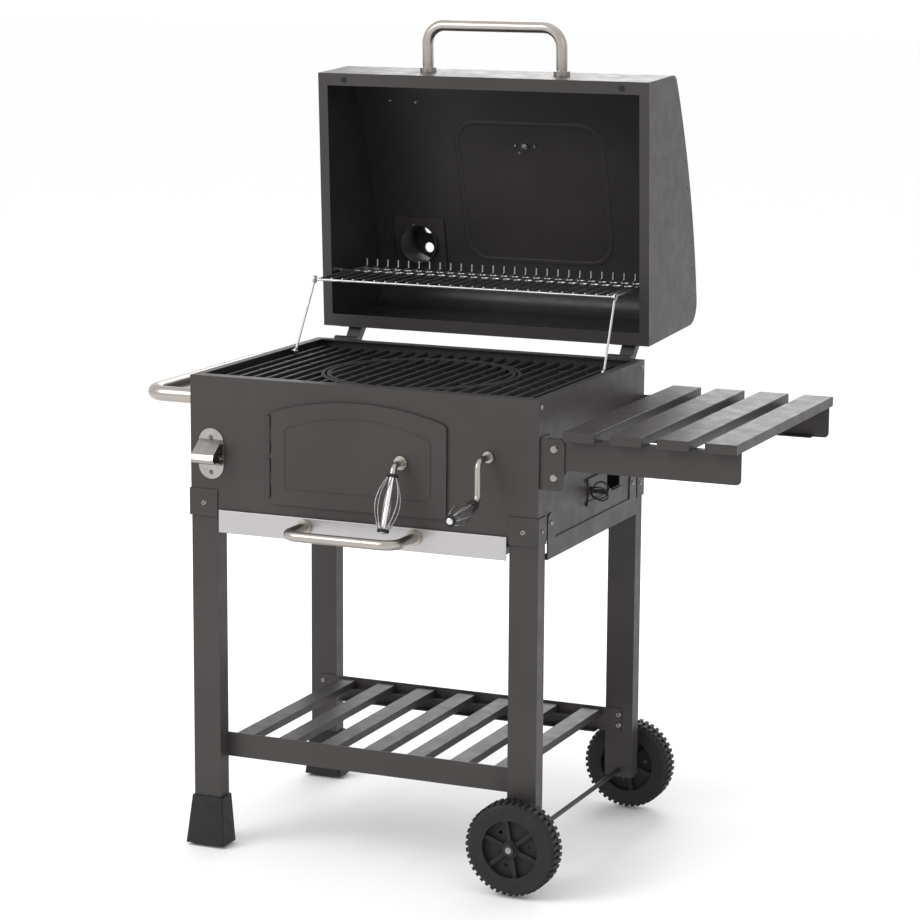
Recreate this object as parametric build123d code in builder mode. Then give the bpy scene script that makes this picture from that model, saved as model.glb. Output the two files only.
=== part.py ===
"""Charcoal trolley grill with a hinged lid, shown with the lid open. Millimetres, +Z up.

Everything is laid out about the middle of the firebox on the floor: +X towards the side
shelf, +Y towards the lid hinges. The lid and what it carries are drawn closed and turned
open about the hinge. At the end every piece moves to the middle of the whole grill's box.
"""

import math
import os

from build123d import *

# Driving dimensions
WIDTH, DEPTH = 600, 464  # firebox, outside
RIM_Z, BASE_Z = 774, 550  # firebox top and bottom
SHEET = 2
LEG_X, LEG_Y, LEG_WALL = 48, 28, 1.5
WHEEL_RADIUS, WHEEL_WIDTH, WHEEL_X, WHEEL_GAP = 75, 36, 276, 11
AXLE_RADIUS, RUNNING_GAP = 4, 0.08
HINGE_Y, HINGE_Z, LID_OPEN = 245, 767, 87.2
LID_WIDTH, LID_FRONT, LID_REAR, LID_BASE = 599, -217, 220, 776.5
LID_SHOULDER_Z, LID_MIDDLE_Z, LID_BACK_Z = 907, 977, 1020
CRANK_X, CRANK_Z = 217.5, 681
PAN_TRAVEL, LIFT_ARM, LIFT_HALF_ANGLE = 50.7, 60, 25
SHELF_PIVOT_X, SHELF_PIVOT_Z = 323, 656
CHIMNEY_X, CHIMNEY_Y, CHIMNEY_RADIUS, CHIMNEY_TOP = -215, 106, 35, 1064
RACK_Z, RACK_PIVOT_Y, RACK_FRONT_Y = 884, 302, 162
LINK_Y, LINK_Z = 100, 769
CENTRE_X, CENTRE_Y = 108.75, 78.34  # middle of the whole grill's box, from the firebox

HALF_W, HALF_D = WIDTH / 2, DEPTH / 2
LEG_OUT = HALF_D - SHEET  # outer face of the legs
LEG_IN = LEG_OUT - LEG_Y
LEG_MID_X = HALF_W - LEG_X / 2
WHEEL_Y = LEG_OUT + WHEEL_GAP + WHEEL_WIDTH / 2

FRONT = Plane.XZ
BACK = Plane(origin=(0, 0, 0), x_dir=(-1, 0, 0), z_dir=(0, 1, 0))
RIGHT = Plane.YZ
LEFT = Plane(origin=(0, 0, 0), x_dir=(0, -1, 0), z_dir=(-1, 0, 0))


def block(x, y, z, mode=Mode.ADD):
    """Box between (low, high) limits on each axis."""
    with Locations([tuple(sum(limits) / 2 for limits in (x, y, z))]):
        Box(*(high - low for low, high in (x, y, z)), mode=mode)


def bent_bar(points, bend, radius, wall=0):
    """Round bar or tube along straight runs joined by equal bends."""
    with BuildLine() as path:
        FilletPolyline(*points, radius=bend)
    with BuildSketch(Plane(origin=path.line @ 0, z_dir=path.line % 0)) as profile:
        Circle(radius)
        if wall:
            Circle(radius - wall, mode=Mode.SUBTRACT)
    sweep(profile.sketch, path=path.line)


def straight_bar(start, end, radius, mode=Mode.ADD):
    """Round bar between two points."""
    start, end = Vector(*start), Vector(*end)
    with BuildSketch(Plane(origin=start, z_dir=end - start)) as profile:
        Circle(radius)
    extrude(profile.sketch, amount=(end - start).length, mode=mode)


def bolt_heads(plane, points, radius=5, height=2.6):
    """Low domed heads that stand on a plane."""
    with BuildSketch(plane) as heads:
        with Locations(*points):
            Circle(radius)
    extrude(heads.sketch, amount=height, taper=32)


def cage_grip(plane, length, bulge, collar=9.5, wires=6, wire=1.3):
    """Whisk of bowed wires round a rod along a plane's normal, between two collars."""
    collar_length, wire_seat = 5, collar - 2.5
    with BuildSketch(plane) as core:
        Circle(collar / 2)
    extrude(core.sketch, amount=length)
    for far in (0, length - collar_length):
        with BuildSketch(plane.offset(far)) as ring:
            Circle(collar)
        extrude(ring.sketch, amount=collar_length)
    for turn in range(wires):
        angle = math.radians(360 * turn / wires)
        outward = plane.x_dir * math.cos(angle) + plane.y_dir * math.sin(angle)
        start = plane.origin + outward * wire_seat + plane.z_dir * 3
        middle = plane.origin + outward * bulge + plane.z_dir * length / 2
        end = plane.origin + outward * wire_seat + plane.z_dir * (length - 3)
        with BuildLine() as rib:
            ThreePointArc(start, middle, end)
        with BuildSketch(Plane(origin=rib.line @ 0, z_dir=rib.line % 0)) as section:
            Circle(wire)
        sweep(section.sketch, path=rib.line)


def wheel(y):
    """One-piece moulded wheel: knobbed tread, smooth side walls, six spokes and a boss."""
    lugs, lug_depth, lug_width = 44, 2.8, 5.6
    tread = WHEEL_RADIUS - lug_depth
    outer = y - WHEEL_WIDTH / 2
    centre = Plane(origin=(WHEEL_X, 0, WHEEL_RADIUS), x_dir=(1, 0, 0), z_dir=(0, 1, 0))
    with BuildPart() as moulding:
        with BuildSketch(centre.offset(outer)):
            Circle(tread)
        extrude(amount=WHEEL_WIDTH)
        fillet(moulding.edges().filter_by(GeomType.CIRCLE), 7)
        for row, start in enumerate((3, 18.5)):
            with BuildSketch(centre.offset(outer + start)):
                Circle(tread - 3)
                with PolarLocations(tread - 1, lugs, start_angle=row * 180 / lugs):
                    Rectangle(2 * lug_depth + 2, lug_width)
            extrude(amount=WHEEL_WIDTH / 2 - 3.5)
        for face, depth in ((outer, 11), (outer + WHEEL_WIDTH - 11, 11)):
            with BuildSketch(centre.offset(face)):
                Circle(46)
                Circle(14, mode=Mode.SUBTRACT)
                with PolarLocations(0, 6, start_angle=20):
                    with Locations((23, 0)):
                        Rectangle(46, 7, mode=Mode.SUBTRACT)
            extrude(amount=depth, mode=Mode.SUBTRACT)
        for face in (outer, outer + WHEEL_WIDTH - 4):
            with BuildSketch(centre.offset(face)):
                Circle(45)
                Circle(12, mode=Mode.SUBTRACT)
            extrude(amount=4, mode=Mode.SUBTRACT)
        with BuildSketch(centre.offset(outer)):
            with PolarLocations(30, 3, start_angle=-10):
                Circle(3)
            Circle(AXLE_RADIUS + RUNNING_GAP)
        extrude(amount=WHEEL_WIDTH, mode=Mode.SUBTRACT)
    return moulding


# Firebox: four upright sheets with a turned-in rim, and the floor
DOOR_LEFT, DOOR_RIGHT, DOOR_BASE, DOOR_CORNER, DOOR_TOP = -154, 148, 577, 724, 748


def door_outline(inset):
    """Arched door outline as a sketch, smaller all round by the inset."""
    left, right = DOOR_LEFT + inset, DOOR_RIGHT - inset
    corner_z = DOOR_CORNER - inset
    with BuildSketch() as outline:
        with BuildLine():
            base_z = DOOR_BASE + inset
            Polyline((left, corner_z), (left, base_z), (right, base_z), (right, corner_z))
            ThreePointArc((right, corner_z), ((left + right) / 2, DOOR_TOP - inset), (left, corner_z))
        make_face()
        fillet(outline.vertices(), 9)
    return outline.sketch


DOOR_SHAPE, DOOR_LIP, DOOR_OPENING = door_outline(0), door_outline(2.5), door_outline(14)
DOOR_GROOVE_OUT, DOOR_GROOVE_IN = door_outline(24), door_outline(27)

with BuildPart() as firebox_front:
    block((-HALF_W, HALF_W), (-HALF_D, -LEG_OUT), (BASE_Z, RIM_Z))
    block((SHEET - HALF_W, HALF_W - SHEET), (-LEG_OUT, 20 - LEG_OUT), (RIM_Z - SHEET, RIM_Z))
    with BuildSketch(FRONT.offset(LEG_OUT)):
        add(DOOR_OPENING)
    extrude(amount=SHEET, mode=Mode.SUBTRACT)
    straight_bar((CRANK_X, -HALF_D, CRANK_Z), (CRANK_X, -LEG_OUT, CRANK_Z), 5.08, Mode.SUBTRACT)

with BuildPart() as firebox_rear:
    block((-HALF_W, HALF_W), (LEG_OUT, HALF_D), (BASE_Z, RIM_Z))
    block((SHEET - HALF_W, HALF_W - SHEET), (LEG_OUT - 14, LEG_OUT), (RIM_Z - SHEET, RIM_Z))

VENT_Y, VENT_Z = (64, 122), (583, 609)
with BuildPart() as firebox_right:
    block((HALF_W - SHEET, HALF_W), (-LEG_OUT, LEG_OUT), (BASE_Z, RIM_Z))
    block((HALF_W - 14, HALF_W - SHEET), (20 - LEG_OUT, LEG_OUT - 14), (RIM_Z - SHEET, RIM_Z))
    block((HALF_W - SHEET, HALF_W), VENT_Y, VENT_Z, Mode.SUBTRACT)

with BuildPart() as firebox_left:
    mirror(firebox_right.part, about=Plane.YZ)

with BuildPart() as firebox_floor:
    block((SHEET - HALF_W, HALF_W - SHEET), (-LEG_OUT, LEG_OUT), (BASE_Z, BASE_Z + SHEET))
    block((-215, 215), (-180, 140), (BASE_Z, BASE_Z + SHEET), Mode.SUBTRACT)

# Legs: rectangular tubes, plastic feet on the left, bare ends with axle holes on the right
FOOT_SOLE, FOOT_TOP = 8, 79


def leg(x_side, y_side, bottom, axle):
    """Leg tube in one corner, with or without the hole for the axle."""
    x = (x_side * LEG_MID_X - LEG_X / 2, x_side * LEG_MID_X + LEG_X / 2)
    middle_y = y_side * (LEG_OUT + LEG_IN) / 2
    y = (middle_y - LEG_Y / 2, middle_y + LEG_Y / 2)
    with BuildPart() as tube:
        block(x, y, (bottom, BASE_Z))
        inner_x = (x[0] + LEG_WALL, x[1] - LEG_WALL)
        inner_y = (y[0] + LEG_WALL, y[1] - LEG_WALL)
        block(inner_x, inner_y, (bottom, BASE_Z), Mode.SUBTRACT)
        if axle:
            hole = AXLE_RADIUS + 0.02
            ends = [(WHEEL_X, y[0], WHEEL_RADIUS), (WHEEL_X, y[1], WHEEL_RADIUS)]
            straight_bar(*ends, hole, Mode.SUBTRACT)
    return tube


leg_front_left = leg(-1, -1, FOOT_SOLE, False)
leg_rear_left = leg(-1, 1, FOOT_SOLE, False)
leg_front_right = leg(1, -1, 64, True)
leg_rear_right = leg(1, 1, 64, True)

with BuildPart() as feet:
    for side in (-1, 1):
        corner = (-LEG_MID_X, side * (LEG_OUT + LEG_IN) / 2)
        with BuildSketch(Plane.XY):
            with Locations((corner[0] - 1, corner[1] + side * 3)):
                RectangleRounded(69, 47, 4)
        with BuildSketch(Plane.XY.offset(FOOT_TOP)):
            with Locations(corner):
                RectangleRounded(LEG_X + 7, LEG_Y + 7, 3)
        loft()
        with BuildSketch(Plane.XY.offset(FOOT_SOLE)):
            with Locations(corner):
                Rectangle(LEG_X, LEG_Y)
        extrude(amount=FOOT_TOP, mode=Mode.SUBTRACT)

RAIL_END = LEG_IN - 6
EAR_Z, EAR_WIDTH = 592, 30
with BuildPart() as side_rails:
    for side in (-1, 1):
        outside = sorted((side * HALF_W, side * (HALF_W + SHEET)))
        block(outside, (-RAIL_END, RAIL_END), (520, BASE_Z + 1))
        block(sorted((side * (HALF_W - 16), side * HALF_W)), (-RAIL_END, RAIL_END), (520, 520 + SHEET))
        for end in (-1, 1):
            with BuildSketch(RIGHT.offset(outside[0])):
                with Locations((end * (RAIL_END - EAR_WIDTH / 2), (EAR_Z + 520) / 2)):
                    RectangleRounded(EAR_WIDTH, EAR_Z - 520, 14)
            extrude(amount=SHEET)

BRACKET_TOP, BRACKET_BASE = 591, 547
with BuildPart() as corner_brackets:
    for side in (-1, 1):
        for end in (-1, 1):
            flat = sorted((side * (HALF_W - LEG_X), side * (HALF_W + SHEET)))
            face = sorted((end * HALF_D, end * (HALF_D + SHEET)))
            block(flat, face, (BRACKET_BASE, BRACKET_TOP))
            flank = sorted((side * HALF_W, side * (HALF_W + SHEET)))
            block(flank, sorted((end * LEG_IN, end * HALF_D)), (BRACKET_BASE, BRACKET_TOP))

# Lower shelf: two rails bolted across the legs' inner faces, and seven slats between them
SHELF_Z = (143, 183)
SLAT_WIDTH, SLAT_PITCH, SLAT_COUNT = 31, 76, 7
with BuildPart() as lower_shelf_rails:
    for end in (-1, 1):
        web = sorted((end * (LEG_IN - SHEET), end * LEG_IN))
        flange = sorted((end * (LEG_IN - 20), end * (LEG_IN - SHEET)))
        block((20 - HALF_W, HALF_W - 20), web, SHELF_Z)
        block((60 - HALF_W, HALF_W - 60), flange, (SHELF_Z[0] + 22, SHELF_Z[0] + 24))
        block((60 - HALF_W, HALF_W - 60), flange, (SHELF_Z[0], SHELF_Z[0] + SHEET))

with BuildPart() as lower_shelf_slats:
    with GridLocations(SLAT_PITCH, 1, SLAT_COUNT, 1):
        with Locations((0, 0, SHELF_Z[0] + 24 + 6)):
            Box(SLAT_WIDTH, 2 * (LEG_IN - SHEET), 12)

# Axle through both right legs, wheels outside them
AXLE_END, AXLE_CAP = WHEEL_Y + WHEEL_WIDTH / 2 + 0.5, 4
with BuildPart() as axle:
    straight_bar((WHEEL_X, -AXLE_END, WHEEL_RADIUS), (WHEEL_X, AXLE_END, WHEEL_RADIUS), AXLE_RADIUS)

wheel_front = wheel(-WHEEL_Y)
wheel_rear = wheel(WHEEL_Y)

# Left handle and bottle opener
with BuildPart() as side_handle:
    bar_x, bar_y, bar_z = -390, 207, 735
    ends = [(-HALF_W, -bar_y, bar_z), (bar_x, -bar_y, bar_z), (bar_x, bar_y, bar_z), (-HALF_W, bar_y, bar_z)]
    bent_bar(ends, 32, 12.5, 1.5)

OPENER_X, OPENER_Z, OPENER_HOOD = -262.5, 649, 40
with BuildPart() as bottle_opener:
    with BuildSketch(FRONT.offset(HALF_D)):
        with Locations((OPENER_X, OPENER_Z)):
            SlotOverall(82, 44, rotation=90)
        with Locations((OPENER_X, OPENER_Z - 8)):
            Rectangle(29, 14, mode=Mode.SUBTRACT)
    extrude(amount=SHEET)
    with BuildSketch(RIGHT.offset(OPENER_X - OPENER_HOOD / 2)):
        with BuildLine():
            Polyline((-233, 670), (-236, 672), (-264, 652), (-267, 644), (-262, 638), (-255, 637),
                     (-255, 639), (-261, 640.5), (-264, 645), (-262, 650), (-233, 667), close=True)
        make_face()
        with BuildLine():
            Polyline((-233, 634), (-246, 638), (-247, 636), (-233, 630), close=True)
        make_face()
    extrude(amount=OPENER_HOOD)

# Charcoal door, on two pin hinges at its left edge
DOOR_FACE, DOOR_PIN_X, DOOR_PIN_Y = 236.6, -158.5, -236.2
DOOR_HINGE_Z, KNUCKLE_RADIUS, KNUCKLE_HALF, HINGE_HALF = (618, 688), 3.5, 10, 30
LATCH_X, LATCH_Z, ROD_RADIUS = 72, 661, 5


def door_knuckle(low, high, bore, mode=Mode.ADD):
    """Barrel of the door hinge between two heights, with its bore."""
    ends = [(DOOR_PIN_X, DOOR_PIN_Y, low), (DOOR_PIN_X, DOOR_PIN_Y, high)]
    straight_bar(*ends, KNUCKLE_RADIUS, mode)
    straight_bar(*ends, bore, Mode.SUBTRACT)


with BuildPart() as door_panel:
    with BuildSketch(FRONT.offset(DOOR_FACE - SHEET)):
        add(DOOR_SHAPE)
    extrude(amount=SHEET)
    with BuildSketch(FRONT.offset(HALF_D + 0.4)):
        add(DOOR_SHAPE)
        add(DOOR_LIP, mode=Mode.SUBTRACT)
    extrude(amount=DOOR_FACE - SHEET - HALF_D - 0.4)
    with BuildSketch(FRONT.offset(DOOR_FACE)):
        add(DOOR_GROOVE_OUT)
        add(DOOR_GROOVE_IN, mode=Mode.SUBTRACT)
    extrude(amount=-0.8, mode=Mode.SUBTRACT)
    for z in DOOR_HINGE_Z:
        tab = (z - KNUCKLE_HALF, z + KNUCKLE_HALF)
        block((DOOR_PIN_X, DOOR_LEFT + 4), (-DOOR_FACE, SHEET - DOOR_FACE), tab)
        door_knuckle(*tab, 1.6 + RUNNING_GAP)
    latch_hole = [(LATCH_X, -DOOR_FACE, LATCH_Z), (LATCH_X, -HALF_D, LATCH_Z)]
    straight_bar(*latch_hole, ROD_RADIUS + RUNNING_GAP, Mode.SUBTRACT)

with BuildPart() as door_hinges:
    for z in DOOR_HINGE_Z:
        for low, high in ((z - HINGE_HALF, z - KNUCKLE_HALF - 0.4), (z + KNUCKLE_HALF + 0.4, z + HINGE_HALF)):
            block((DOOR_PIN_X - 3, DOOR_PIN_X + 1), (DOOR_PIN_Y, -HALF_D), (low, high))
            straight_bar((DOOR_PIN_X, DOOR_PIN_Y, low), (DOOR_PIN_X, DOOR_PIN_Y, high), KNUCKLE_RADIUS)
        pin = [(DOOR_PIN_X, DOOR_PIN_Y, z + end * (HINGE_HALF + 1)) for end in (-1, 1)]
        straight_bar(*pin, 1.6)

LATCH_BEND, LATCH_TIP = Vector(LATCH_X, -262.5, LATCH_Z), Vector(LATCH_X, -268, 648)
LATCH_END = Plane(origin=LATCH_TIP, x_dir=(1, 0, 0), z_dir=LATCH_TIP - LATCH_BEND)
with BuildPart() as door_latch_rod:
    bent_bar([(LATCH_X, -226.5, LATCH_Z), LATCH_BEND, LATCH_TIP], 14, ROD_RADIUS)
    straight_bar((LATCH_X, -240.2, LATCH_Z), (LATCH_X, -237, LATCH_Z), 11)
    block((LATCH_X - 12, LATCH_X + 56), (-229, -226.5), (LATCH_Z - 8, LATCH_Z + 8))

with BuildPart() as door_grip:
    cage_grip(LATCH_END, 92, 20)

# Crank: its shaft runs to the rear and lifts the charcoal pan with a bail
SHAFT_END, CRANK_REACH, CRANK_DROP, CRANK_TIP = 226, 275, 63, Vector(CRANK_X, -291, 616.5)
CRANK_ELBOW = Vector(CRANK_X, -CRANK_REACH, CRANK_Z - CRANK_DROP)
CRANK_END = Plane(origin=CRANK_TIP, x_dir=(1, 0, 0), z_dir=CRANK_TIP - CRANK_ELBOW)
BAIL_X = CRANK_X - LIFT_ARM * math.cos(math.radians(LIFT_HALF_ANGLE))
BAIL_Z = CRANK_Z - LIFT_ARM * math.sin(math.radians(LIFT_HALF_ANGLE))
BAIL_Y, BAIL_RADIUS = 124, 4
with BuildPart() as crank_shaft:
    route = [(CRANK_X, SHAFT_END, CRANK_Z), (CRANK_X, -CRANK_REACH, CRANK_Z), CRANK_ELBOW, CRANK_TIP]
    bent_bar(route, 14, ROD_RADIUS)
    straight_bar((CRANK_X, -236.5, CRANK_Z), (CRANK_X, -232.5, CRANK_Z), 9)
    straight_bar((BAIL_X, -BAIL_Y, BAIL_Z), (BAIL_X, BAIL_Y, BAIL_Z), BAIL_RADIUS)
    for y in (4 - BAIL_Y, BAIL_Y - 4):
        straight_bar((CRANK_X, y, CRANK_Z), (BAIL_X, y, BAIL_Z), 3)

with BuildPart() as crank_grip:
    cage_grip(CRANK_END, 90, 16)
    bolt_heads(CRANK_END.offset(90), [(0, 0)], 4.5)

# Charcoal pan on four guide posts
PAN_X, PAN_Y, PAN_DEPTH = (-238, 148), 185, 50
PAN_RIM = BAIL_Z + BAIL_RADIUS + 0.5
POST_X, POST_Y, POST_RADIUS = (-180, 90), 198, 4
with BuildPart() as charcoal_pan:
    block(PAN_X, (-PAN_Y, PAN_Y), (PAN_RIM + SHEET - PAN_DEPTH, PAN_RIM + SHEET))
    cavity_x = (PAN_X[0] + 1.5, PAN_X[1] - 1.5)
    block(cavity_x, (1.5 - PAN_Y, PAN_Y - 1.5), (PAN_RIM + 3.5 - PAN_DEPTH, PAN_RIM + SHEET), Mode.SUBTRACT)
    block((PAN_X[1] - 1, 165.5), (-PAN_Y, PAN_Y), (PAN_RIM, PAN_RIM + SHEET))
    block((PAN_X[0] - 16, PAN_X[0] + 1), (-PAN_Y, PAN_Y), (PAN_RIM, PAN_RIM + SHEET))
    for y in (-1, 1):
        for x in POST_X:
            block((x - 11, x + 11), sorted((y * (PAN_Y - 1), y * (POST_Y + 11))), (PAN_RIM, PAN_RIM + SHEET))
            hole = [(x, y * POST_Y, PAN_RIM - 1), (x, y * POST_Y, PAN_RIM + 5)]
            straight_bar(*hole, POST_RADIUS + RUNNING_GAP, Mode.SUBTRACT)
    with BuildSketch(Plane.XY.offset(PAN_RIM + SHEET - PAN_DEPTH)):
        with Locations((sum(PAN_X) / 2, 0)):
            with GridLocations(60, 60, 6, 5):
                SlotOverall(38, 7)
    extrude(amount=1.5, mode=Mode.SUBTRACT)

with BuildPart() as lift_guides:
    for y in (-POST_Y, POST_Y):
        for x in POST_X:
            straight_bar((x, y, BASE_Z + SHEET), (x, y, 732), POST_RADIUS)
    block((CRANK_X - 12, CRANK_X + 12), (214, LEG_OUT), (CRANK_Z - 12, CRANK_Z + 12))
    straight_bar((CRANK_X, 213, CRANK_Z), (CRANK_X, 228, CRANK_Z), ROD_RADIUS + RUNNING_GAP, Mode.SUBTRACT)

# Cast iron cooking grates with a round insert
GRATE_Z, GRATE_BAR, GRATE_PITCH, GRATE_HALF_X, GRATE_HALF_Y = 752, 12, 24, 281, 207
RING_RADIUS, INSERT_RADIUS = 163, 153.5


def plan_bars(positions, length):
    """Bars along Y in plan."""
    with Locations(*[(x, 0) for x in positions]):
        Rectangle(6, length)


with BuildPart() as grate_right:
    middle, width = (GRATE_HALF_X + 0.6) / 2, GRATE_HALF_X - 0.6
    with BuildSketch(Plane.XY.offset(GRATE_Z)):
        plan_bars([GRATE_PITCH * (number + 0.5) for number in range(12)], 2 * GRATE_HALF_Y)
        Circle(RING_RADIUS - 3, mode=Mode.SUBTRACT)
    extrude(amount=GRATE_BAR)
    with BuildSketch(Plane.XY.offset(GRATE_Z)):
        with Locations((middle, 0)):
            Rectangle(width, 2 * GRATE_HALF_Y)
            Rectangle(width - 14, 2 * GRATE_HALF_Y - 14, mode=Mode.SUBTRACT)
        with Locations(*[(middle, y) for y in (-138, -46, 46, 138)]):
            Rectangle(width, 6)
        Circle(RING_RADIUS - 3, mode=Mode.SUBTRACT)
    extrude(amount=GRATE_BAR - 4)
    with BuildSketch(Plane.XY.offset(GRATE_Z)):
        Circle(RING_RADIUS)
        Circle(RING_RADIUS - 6, mode=Mode.SUBTRACT)
        with Locations((middle, 0)):
            Rectangle(width, 2 * GRATE_HALF_Y, mode=Mode.INTERSECT)
    extrude(amount=GRATE_BAR)

with BuildPart() as grate_left:
    mirror(grate_right.part, about=Plane.YZ)

with BuildPart() as grate_insert:
    with BuildSketch(Plane.XY.offset(GRATE_Z + 0.3)):
        plan_bars([GRATE_PITCH * (number - 5.5) for number in range(12)], 2 * INSERT_RADIUS)
        Circle(INSERT_RADIUS - 2, mode=Mode.INTERSECT)
    extrude(amount=GRATE_BAR - 0.3)
    with BuildSketch(Plane.XY.offset(GRATE_Z + 0.3)):
        with GridLocations(1, 92, 1, 4):
            Rectangle(2 * INSERT_RADIUS, 6)
        Circle(INSERT_RADIUS - 2, mode=Mode.INTERSECT)
    extrude(amount=GRATE_BAR - 4.3)
    with BuildSketch(Plane.XY.offset(GRATE_Z + 0.3)):
        Circle(INSERT_RADIUS)
        Circle(INSERT_RADIUS - 6, mode=Mode.SUBTRACT)
    extrude(amount=GRATE_BAR - 0.3)

with BuildPart() as grate_supports:
    for end in (-1, 1):
        block((-290, 290), sorted((end * 200, end * LEG_OUT)), (GRATE_Z - SHEET, GRATE_Z))
        block((-290, 290), sorted((end * (LEG_OUT - SHEET), end * LEG_OUT)), (GRATE_Z - 18, GRATE_Z))
    for x in (-84, 84):
        block((x - 6, x + 6), (-204, 204), (GRATE_Z - 8, GRATE_Z))

# Ash drawer on two runners under the floor
TRAY_X, TRAY_Y, TRAY_Z = 236, (-234, 150), (524, 546)
DRAWER_HANDLE_X, DRAWER_HANDLE_Y, DRAWER_HANDLE_Z = 95, -312, 545
with BuildPart() as drawer_tray:
    block((-TRAY_X, TRAY_X), TRAY_Y, TRAY_Z)
    cavity_y = (TRAY_Y[0] + 1.5, TRAY_Y[1] - 1.5)
    block((1.5 - TRAY_X, TRAY_X - 1.5), cavity_y, (TRAY_Z[0] + 1.5, TRAY_Z[1]), Mode.SUBTRACT)
    for side in (-1, 1):
        block(sorted((side * (TRAY_X - 1), side * 246)), (-222, TRAY_Y[1]), (TRAY_Z[1] - 1.5, TRAY_Z[1]))

with BuildPart() as drawer_front:
    block((-249, 249), (TRAY_Y[0] - 2.3, TRAY_Y[0]), (522, 559))
    chamfer(drawer_front.faces().sort_by(Axis.Y)[0].edges(), 0.8)

with BuildPart() as drawer_handle:
    face_y = TRAY_Y[0] - 2.3
    route = [(-DRAWER_HANDLE_X, y, DRAWER_HANDLE_Z) for y in (face_y, DRAWER_HANDLE_Y)]
    route += [(-x, y, z) for x, y, z in reversed(route)]
    bent_bar(route, 24, 8, 1.2)
    for x in (-DRAWER_HANDLE_X, DRAWER_HANDLE_X):
        with BuildSketch(FRONT.offset(-face_y)):
            with Locations((x, DRAWER_HANDLE_Z)):
                Circle(12.5)
                Circle(7, mode=Mode.SUBTRACT)
        extrude(amount=6)

with BuildPart() as drawer_runners:
    for side in (-1, 1):
        block(sorted((side * 238, side * 250)), (-226, TRAY_Y[1] + 4), (541.5, 544.2))
        block(sorted((side * 247.5, side * 250)), (-226, TRAY_Y[1] + 4), (544.2, BASE_Z))

# Side shelf: two arms that turn down about the lower bolts of two brackets
ARM_Y, ARM_TOP, ARM_LOW, ARM_END = 225.5, 717, 668, 620
BRACKET_Y, LOCK_Z = 228, 700
SLAT_X, SHELF_SLAT = (369.5, 444.5, 519.5, 594.5), (50, 493, 15)
with BuildPart() as shelf_arms:
    for side in (-1, 1):
        with BuildSketch(FRONT.offset(side * ARM_Y - max(side, 0) * SHEET)):
            with BuildLine():
                corner = 8
                Polyline((ARM_END - corner, ARM_LOW), (345, ARM_LOW), (333, 650), (311, 656), (311, ARM_TOP),
                         (ARM_END, ARM_TOP), (ARM_END, ARM_LOW + corner))
                RadiusArc((ARM_END, ARM_LOW + corner), (ARM_END - corner, ARM_LOW), corner)
            make_face()
            with Locations((SHELF_PIVOT_X, SHELF_PIVOT_Z)):
                Circle(12)
                Circle(AXLE_RADIUS + RUNNING_GAP, mode=Mode.SUBTRACT)
            with Locations((SHELF_PIVOT_X - 5, LOCK_Z - 1)):
                Rectangle(24, 11, mode=Mode.SUBTRACT)
        extrude(amount=SHEET)
        web_in = side * (ARM_Y - SHEET)
        for low in (ARM_LOW, ARM_TOP - SHEET):
            block((346, ARM_END - 26), sorted((web_in, web_in - side * 14)), (low, low + SHEET))

with BuildPart() as shelf_slats:
    with Locations(*[(x, 0, ARM_TOP + SHELF_SLAT[2] / 2) for x in SLAT_X]):
        Box(*SHELF_SLAT)
    fillet(shelf_slats.edges().filter_by(Axis.Y).group_by(Axis.Z)[-1], 1.5)
    with Locations(*[(x, 0, ARM_TOP + SHELF_SLAT[2] / 2 - 1.5) for x in SLAT_X]):
        Box(SHELF_SLAT[0] - 3, SHELF_SLAT[1] - 3, SHELF_SLAT[2] - 1.5, mode=Mode.SUBTRACT)

with BuildPart() as shelf_brackets:
    for side in (-1, 1):
        with BuildSketch(FRONT.offset(side * BRACKET_Y - max(side, 0) * SHEET)):
            with Locations((SHELF_PIVOT_X - 2, 676)):
                RectangleRounded(38, 80, 9)
            with Locations((HALF_W + SHEET + 5, 676)):
                Rectangle(14, 80)
            with Locations((SHELF_PIVOT_X, SHELF_PIVOT_Z), (SHELF_PIVOT_X, LOCK_Z)):
                Circle(AXLE_RADIUS, mode=Mode.SUBTRACT)
        extrude(amount=SHEET)
        block((HALF_W, HALF_W + SHEET), sorted((side * 188, side * BRACKET_Y)), (636, 716))

# Side dampers: a plate with a wire knob slides over a window between two guides
DAMPER_Y, DAMPER_Z = (-24, 52), (577, 615)
with BuildPart() as damper_right:
    block((HALF_W + 0.2, HALF_W + 1.8), DAMPER_Y, DAMPER_Z)
    knob_seat = (HALF_W + 1.8, -12, sum(DAMPER_Z) / 2)
    knob = Plane(origin=knob_seat, x_dir=(0, 1, 0), z_dir=(1, 0, 0))
    cage_grip(knob, 32, 16, 7, 5)

with BuildPart() as damper_left:
    mirror(damper_right.part, about=Plane.YZ)

with BuildPart() as damper_guides:
    for side in (-1, 1):
        for edge, turned in ((DAMPER_Z[0] - 0.2, -1), (DAMPER_Z[1] + 0.2, 1)):
            foot = sorted((side * HALF_W, side * (HALF_W + 3.4)))
            block(foot, (-30, 130), sorted((edge, edge + turned * 3)))
            lip = sorted((side * (HALF_W + 2), side * (HALF_W + 3.4)))
            block(lip, (-30, 130), sorted((edge - turned * 4, edge + turned)))

# Lid, drawn closed: a wrapped cover between two profiled side plates
CROWN = ThreePointArc((LID_FRONT, LID_SHOULDER_Z), (-32, LID_MIDDLE_Z), (LID_REAR, LID_BACK_Z))
COVER_HALF = LID_WIDTH / 2 - SHEET
THERMOMETER_X, THERMOMETER_Y, PLATE_X, PLATE_Y = 6, -82, (-238, -188), -155


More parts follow.
